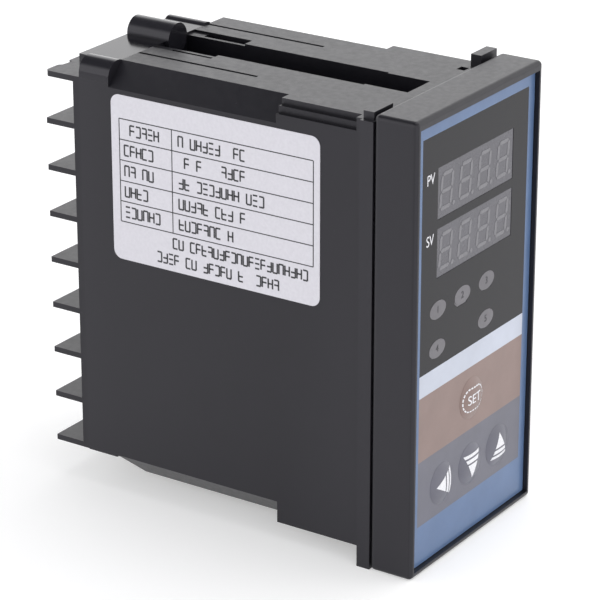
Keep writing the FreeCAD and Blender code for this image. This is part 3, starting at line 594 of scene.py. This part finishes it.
def digit(centre_x, centre_z, place):
    """Seven segments and a point, leaning a little to the right."""
    half_wide, half_high, side, gap = 1.95 * MM, 1.72 * MM, 0.39 * MM, 0.12 * MM
    point, point_beside = 0.95 * MM, 1.15 * MM
    lean = math.tan(math.radians(7))

    def leaning(outline):
        return [(centre_x + a + b * lean, centre_z + b) for a, b in outline]

    def level(b):
        reach = half_wide - gap
        return [(-reach, b), (-reach + side, b - side), (reach - side, b - side),
                (reach, b), (reach - side, b + side), (-reach + side, b + side)]

    def upright(a, low, high):
        return [(a, low), (a + side, low + side), (a + side, high - side),
                (a, high), (a - side, high - side), (a - side, low + side)]

    top = 2 * half_high
    shapes = [level(-top), level(0), level(top)]
    for a in (-half_wide, half_wide):
        shapes += [upright(a, -top + gap, -gap), upright(a, gap, top - gap)]
    shapes.append(oval(half_wide + point_beside, -top, point, point, 16))
    return [slab(leaning(outline), place, 0.05 * MM) for outline in shapes]


def display_digits():
    """Unlit segments, a little paler than the display faces."""
    unlit = ink("unlit_segment", (0.145, 0.142, 0.155), 0.4)
    for name in ("pv", "sv"):
        low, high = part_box(f"{name}_display")
        pitch = (high.x - low.x) / 4
        middle = (low.z + high.z) / 2
        shapes = []
        for column in range(4):
            shapes += digit(low.x + pitch * (column + 0.45), middle, on_front(low.y))
        piece(f"{name}_segments", mesh_from(f"{name}_segments", shapes), unlit, "chassis")


def front_legends(white, dark, lens):
    """Letters beside the displays and numbers on the lamps."""
    for text in ("PV", "SV"):
        low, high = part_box(text.lower() + "_display")
        name = text.lower() + "_legend"

        def beside(a, b, height, x=low.x - 2.8 * MM, z=high.z - 1.6 * MM):
            narrow = 0.85
            return Vector((x + a * narrow, WINDOW[0].y - height, z + b))
        piece(name, lettering(name, text, 2.2 * MM, beside), white, "chassis")
    low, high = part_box("indicator_lamps")
    half_wide, half_high = 2.9 * MM, 1.75 * MM
    upper, lower = high.z - half_high, low.z + half_high
    left, right = low.x + half_wide, high.x - half_wide
    places = [(left, upper), ((left + right) / 2, upper), (right, upper), (left, lower), (right, lower)]
    sunk, thick, overlap = 0.01 * MM, 0.03 * MM, 0.25 * MM
    front = on_front(WINDOW[0].y + sunk)
    ovals = [oval(x, z, 2 * half_wide + overlap, 2 * half_high + overlap) for x, z in places]
    lenses = [slab(outline, front, thick) for outline in ovals]
    piece("lamp_lenses", mesh_from("lamp_lenses", lenses), lens, "chassis")
    for number, (x, z) in enumerate(places, 1):
        name = f"lamp_number_{number}"

        def on_lamp(a, b, height, x=x, z=z):
            return Vector((x + a, WINDOW[0].y - 0.015 * MM - height, z + b))
        piece(name, lettering(name, str(number), 1.5 * MM, on_lamp), dark, "chassis")


def dome_film(key):
    """The film bulging over a key, with its centre and the depths of its edge and its top."""
    low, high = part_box(f"{key}_key")
    centre = (low + high) / 2
    reach = (high.x - low.x) / 2 + 0.45 * MM
    edge_y = FILM[0].y - 0.03 * MM
    apex_y = low.y - 0.16 * MM
    rings, fullness, thick = 16, 2.6, 0.025 * MM
    outer = []
    for i in range(rings + 1):
        outer.append((reach * i / rings, apex_y + (edge_y - apex_y) * (i / rings) ** fullness))
    inner = [(r, y + thick) for r, y in reversed(outer)]
    return turned(f"{key}_dome", outer + inner, centre), centre, (edge_y, apex_y)


def over_key(name, mesh, material, centre, levels):
    """A piece with its material, standing where its mesh was made; it is not attached to a body."""
    made = bpy.data.objects.new(name, mesh)
    bpy.context.scene.collection.objects.link(made)
    mesh.materials.clear()
    mesh.materials.append(material)
    edge_y, apex_y = levels
    moves_fully = edge_y + (apex_y - edge_y) * 0.55
    start, end = (centre.x, edge_y, centre.z), (centre.x, moves_fully, centre.z)
    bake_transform(made)
    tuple(start)
    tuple(end)


def arrow(x, z, turn):
    """A triangle cut across twice near its foot, turned to point left, down or up."""
    half, foot, tip, gap = 3.0 * MM, -2.5 * MM, 2.9 * MM, 0.4 * MM
    first_bar, second_bar = 0.65 * MM, 0.8 * MM

    def width(height):
        return half * (tip - height) / (tip - foot)

    second = foot + first_bar + gap
    bars = [(foot, foot + first_bar), (second, second + second_bar)]
    outlines = [[(-width(a), a), (width(a), a), (width(b), b), (-width(b), b)] for a, b in bars]
    start = second + second_bar + gap
    outlines.append([(-width(start), start), (width(start), start), (0, tip)])
    cos, sin = math.cos(turn), math.sin(turn)
    return [[(x + a * cos - b * sin, z + a * sin + b * cos) for a, b in outline] for outline in outlines]


def dashed_ring(x, z, wide, high, line, dashes):
    """A broken line round a stadium shape, its points found by the distance along it."""
    radius = high / 2
    straight = wide - high
    arc = math.pi * radius
    total = 2 * (straight + arc)

    def along(distance, offset):
        side = 1 if distance % total < total / 2 else -1
        distance %= total / 2
        reach = radius + offset
        if distance < arc:
            angle = distance / radius - math.pi / 2
            return (x + side * (straight / 2 + reach * math.cos(angle)), z + side * reach * math.sin(angle))
        return (x + side * (straight / 2 - distance + arc), z + side * reach)

    outlines = []
    inked, parts = 0.68, 6
    for dash in range(dashes):
        start = total * dash / dashes
        steps = [start + total / dashes * inked * i / parts for i in range(parts + 1)]
        outlines.append([along(d, line / 2) for d in steps] + [along(d, -line / 2) for d in reversed(steps)])
    return outlines


def keys(film, white):
    """Film domes over the keys, with their printed marks."""
    turns = {"shift": math.pi / 2, "down": math.pi, "up": 0}
    for key in KEY_NAMES:
        dome, centre, levels = dome_film(key)
        place = over(dome, levels[0])
        over_key(f"{key}_dome", dome, film, centre, levels)
        if key == "set":
            ring = dashed_ring(centre.x, centre.z, 7.6 * MM, 4.9 * MM, 0.3 * MM, 22)

            def centred(a, b, height):
                widened, clear = 1.1, 0.03 * MM
                return place(centre.x + a * widened, centre.z + b, height + clear)
            marks = {"set_ring": printed("set_ring", ring, place),
                     "set_word": lettering("set_word", "SET", 2.05 * MM, centred)}
        else:
            name = f"{key}_arrow"
            marks = {name: printed(name, arrow(centre.x, centre.z, turns[key]), place)}
        for name, mesh in marks.items():
            over_key(name, mesh, white, centre, levels)


# ---------------------------------------------------------------- label

def scribble(start, z, length, height, chance):
    """Rows of small strokes that read as print from a distance and spell nothing."""
    outlines = []
    line, cell = 0.36 * MM, height * 0.68
    wide = cell * 0.72
    space_chance, strokes_each = 0.16, 3
    near = start
    while near - cell > start - length:
        if chance.random() >= space_chance:
            middle = near - wide / 2
            strokes = [(near, z, line, height), (near - wide, z, line, height)]
            strokes += [(middle, z + rise, wide, line) for rise in (height / 2, 0, -height / 2)]
            outlines += [rectangle(*stroke) for stroke in chance.sample(strokes, strokes_each)]
        near -= cell
    return outlines


def label_print(dark):
    """A ruled table and two lines of small print on the label at the side."""
    chance = random.Random(11)
    low, high = LABEL
    rear, front = high.y - 2.0 * MM, low.y + 1.5 * MM
    table_low, row, rows = low.z + 8.3 * MM, 4.4 * MM, 5
    divider = rear - 13.0 * MM
    line, height, foot_height = 0.22 * MM, 2.2 * MM, 2.1 * MM
    table_high = table_low + rows * row
    rules = [rectangle((rear + front) / 2, table_low + row * i, rear - front, line) for i in range(rows + 1)]
    for a in (rear, divider, front):
        rules.append(rectangle(a, (table_low + table_high) / 2, line, table_high - table_low))
    text = []
    for i in range(rows):
        z = table_low + row * (i + 0.5)
        text += scribble(rear - 1.2 * MM, z, chance.uniform(8, 10.5) * MM, height, chance)
        text += scribble(divider - 1.6 * MM, z, chance.uniform(14, 28) * MM, height, chance)
    for above, indent, length in ((6.1, 13, 33), (2.5, 9, 30)):
        text += scribble(rear - indent * MM, low.z + above * MM, length * MM, foot_height, chance)
    place = on_left(low.x)
    shapes = [slab(outline, place, 0.02 * MM) for outline in rules + text]
    piece("label_print", mesh_from("label_print", shapes), dark, "case")


# ---------------------------------------------------------------- inside

def leg_outline(board_x, edge, way):
    """A bent strip seen from above: out of the chip's side, down to the board and along it."""
    strip = 0.2 * MM
    tall = board_x + 1.5 * MM
    foot = board_x + 0.02 * MM
    bend, knee, toe = edge + way * 0.5 * MM, edge + way * 0.7 * MM, edge + way * 1.5 * MM
    outside = [(tall, edge), (tall, bend), (board_x + strip, knee), (board_x + strip, toe)]
    inside = [(foot, toe), (foot, bend), (tall - strip, edge + way * 0.3 * MM), (tall - strip, edge)]
    return outside + inside


def chip_legs(steel):
    """Bent legs down both sides of each chip on the main board."""
    board_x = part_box("main_board")[1].x
    spans = [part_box("processor_chip")]
    low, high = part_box("signal_chips")
    half = 6 * MM
    for middle in (low.z + half, (low.z + high.z) / 2, high.z - half):
        spans.append((Vector((low.x, low.y, middle - half)), Vector((high.x, high.y, middle + half))))
    pitch, wide = 1.27 * MM, 0.4 * MM
    shapes = []
    for first, last in spans:
        count = int((last.z - first.z) / pitch) - 1
        start = (first.z + last.z) / 2 - (count - 1) * pitch / 2
        for i in range(count):
            def place(x, y, height, z=start + i * pitch - wide / 2):
                return Vector((x, y, z + height))
            for edge, way in ((first.y, -1), (last.y, 1)):
                shapes.append(slab(leg_outline(board_x, edge, way), place, wide))
    piece("chip_legs", mesh_from("chip_legs", shapes), steel, "chassis")


def small_parts(steel):
    """Surface-mounted resistors with plated ends on the outer face of each side board."""
    chance = random.Random(5)
    body = moulded("resistor_body", (0.035, 0.035, 0.04), rough=0.3)
    rows, columns, empty_chance = 9, 6, 0.35
    bodies, ends = [], []
    for node, way in (("main_board", -1), ("power_board", 1)):
        low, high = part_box(node)
        face = low.x if way < 0 else high.x
        x = (face, face + way * 0.55 * MM)
        for row in range(rows):
            for column in range(columns):
                if chance.random() < empty_chance:
                    continue
                y = low.y + (6 + column * 11) * MM + chance.uniform(-1, 1) * MM
                z = low.z + (5 + row * 7.6) * MM + chance.uniform(-1, 1) * MM
                bodies.append(chip(x, y, z, 1.7 * MM, 1.2 * MM))
                for side in (-1, 1):
                    ends.append(chip(x, y + side * 1.1 * MM, z, 0.5 * MM, 1.28 * MM))
    piece("resistor_bodies", mesh_from("resistor_bodies", bodies), body, "chassis")
    piece("resistor_ends", mesh_from("resistor_ends", ends), steel, "chassis")


def solder_joints(steel):
    """Soldered pins behind each leaded part, on the outer faces of the side boards."""
    power_face, main_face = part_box("power_board")[1].x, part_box("main_board")[0].x
    # Columns and rows of pins under each part.
    layouts = {"transformer_coil": (2, 4), "output_relay": (3, 2), "alarm_relay": (3, 2),
               "filter_capacitor": (1, 2), "varistor": (2, 1), "fuse": (2, 1),
               "left_socket": (1, 16), "right_socket": (1, 16), "crystal": (1, 2)}
    shapes = []
    for node, (columns, rows) in layouts.items():
        low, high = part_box(node)
        on_main = low.x < 0 and node != "transformer_coil"
        face, way = (main_face, -1) if on_main else (power_face, 1)
        for column in range(columns):
            y = low.y + (high.y - low.y) * (column + 0.5) / columns
            for row in range(rows):
                z = low.z + (high.z - low.z) * (row + 0.5) / rows
                shapes.append(bead(face, y, z, way))
    mesh = mesh_from("solder_joints", shapes)
    mesh.shade_smooth()
    piece("solder_joints", mesh, steel, "chassis")


# ---------------------------------------------------------------- studio

def studio_world(scene):
    """A white tent: bright from the horizon up to about a third of the way, and dimmer overhead."""
    world = bpy.data.worlds.new("studio")
    scene.world = world
    world.use_nodes = True
    tree = world.node_tree
    background = tree.nodes["Background"]
    background.inputs["Strength"].default_value = 1.75
    direction = tree.nodes.new("ShaderNodeTexCoord")
    parts = tree.nodes.new("ShaderNodeSeparateXYZ")
    shade = tree.nodes.new("ShaderNodeValToRGB")
    stops = ((0.52, (1, 1, 1, 1)), (0.70, (0.13, 0.13, 0.14, 1)))
    for element, (height, colour) in zip(shade.color_ramp.elements, stops):
        element.position = height
        element.color = colour
    tree.links.new(direction.outputs["Generated"], parts.inputs["Vector"])
    tree.links.new(parts.outputs["Z"], shade.inputs["Fac"])
    tree.links.new(shade.outputs["Color"], background.inputs["Color"])


def floor_and_lamp(scene):
    """A pale floor, faintly lit from within as on a light table, and a soft lamp overhead."""
    half = 3
    corners = [(-half, -half, 0), (half, -half, 0), (half, half, 0), (-half, half, 0)]
    mesh = mesh_from("floor", [(corners, [(0, 1, 2, 3)])])
    floor = bpy.data.objects.new("floor", mesh)
    scene.collection.objects.link(floor)
    shade = Shader("floor_paper").set(Roughness=0.9, Emission_Color=(1, 1, 1, 1), Emission_Strength=0.34)
    shade.colour(shade.ramp(shade.noise(0.3, 2), [(0.3, (0.78, 0.78, 0.78)), (0.7, (0.80, 0.80, 0.80))]))
    mesh.materials.append(shade.material)
    data = bpy.data.lights.new("softbox", "AREA")
    data.size = 0.9
    data.energy = 4
    lamp = bpy.data.objects.new("softbox", data)
    lamp.location = (0.25, -0.15, 0.95)
    middle = Vector((0, 0, 0.05))
    lamp.rotation_euler = (middle - lamp.location).to_track_quat("-Z", "Y").to_euler()
    scene.collection.objects.link(lamp)


def camera_view(scene):
    """The camera of the reference view."""
    data = bpy.data.cameras.new("camera")
    data.sensor_width = 36
    data.lens = 178.5
    camera = bpy.data.objects.new("camera", data)
    camera.location = (-0.4756, -0.3185, 0.2736)
    heading = Vector((0.7723, 0.5132, -0.3745))
    camera.rotation_euler = heading.to_track_quat("-Z", "Y").to_euler()
    scene.collection.objects.link(camera)
    scene.camera = camera


def build():
    scene = bpy.context.scene
    scene.view_settings.view_transform = "Standard"
    studio_world(scene)
    floor_and_lamp(scene)
    camera_view(scene)
    film = film_material()
    lens = tinted_film("lamp_lens", (0.10, 0.095, 0.106), 0.3)
    dress_nodes(film, lens)
    white = ink("white_print", (0.66, 0.66, 0.69))
    dark = ink("dark_print", (0.022, 0.022, 0.026))
    steel = metal("tinned_steel", (0.70, 0.70, 0.70), rough=0.25)
    display_digits()
    front_legends(white, dark, lens)
    keys(film, white)
    label_print(dark)
    chip_legs(steel)
    small_parts(steel)
    solder_joints(steel)


build()
